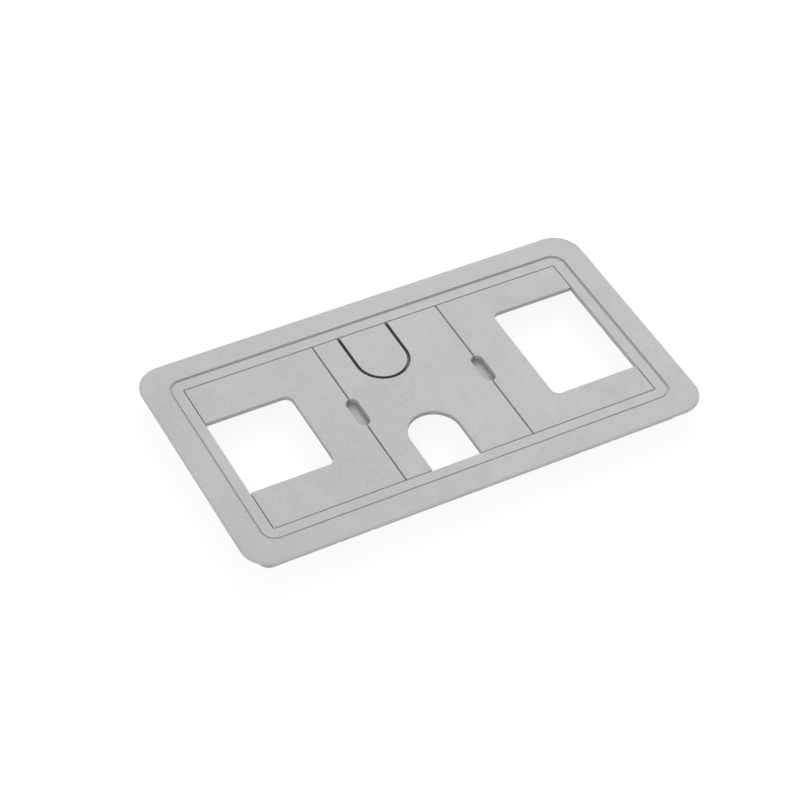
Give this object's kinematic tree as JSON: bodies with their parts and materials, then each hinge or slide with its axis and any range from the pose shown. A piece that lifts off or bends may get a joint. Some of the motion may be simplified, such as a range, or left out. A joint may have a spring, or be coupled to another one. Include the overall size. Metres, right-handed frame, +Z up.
{
  "type": "desk cable grommet",
  "caption": "Rectangular desk cable grommet: stepped frame with a collar, and clip-in lids with cable notches, a break-out tab and an open U-shaped cable slot.",
  "frame": {"origin": "middle of the collar's foot, on the surface that the grommet stands on", "axes": "+X along the grommet to the right, +Y to the back edge with the closed break-out, +Z up out of the desk top"},
  "size_m": [0.232, 0.128, 0.0136],
  "materials": {
    "frame_plastic": "moulded light grey ABS, fine matt texture",
    "lid_plastic": "moulded light grey ABS, fine matt texture"
  },
  "bodies": {
    "root": {"frame": "frame_plastic", "left_lid": "lid_plastic", "centre_lid": "lid_plastic", "right_lid": "lid_plastic"}
  },
  "joints": []
}
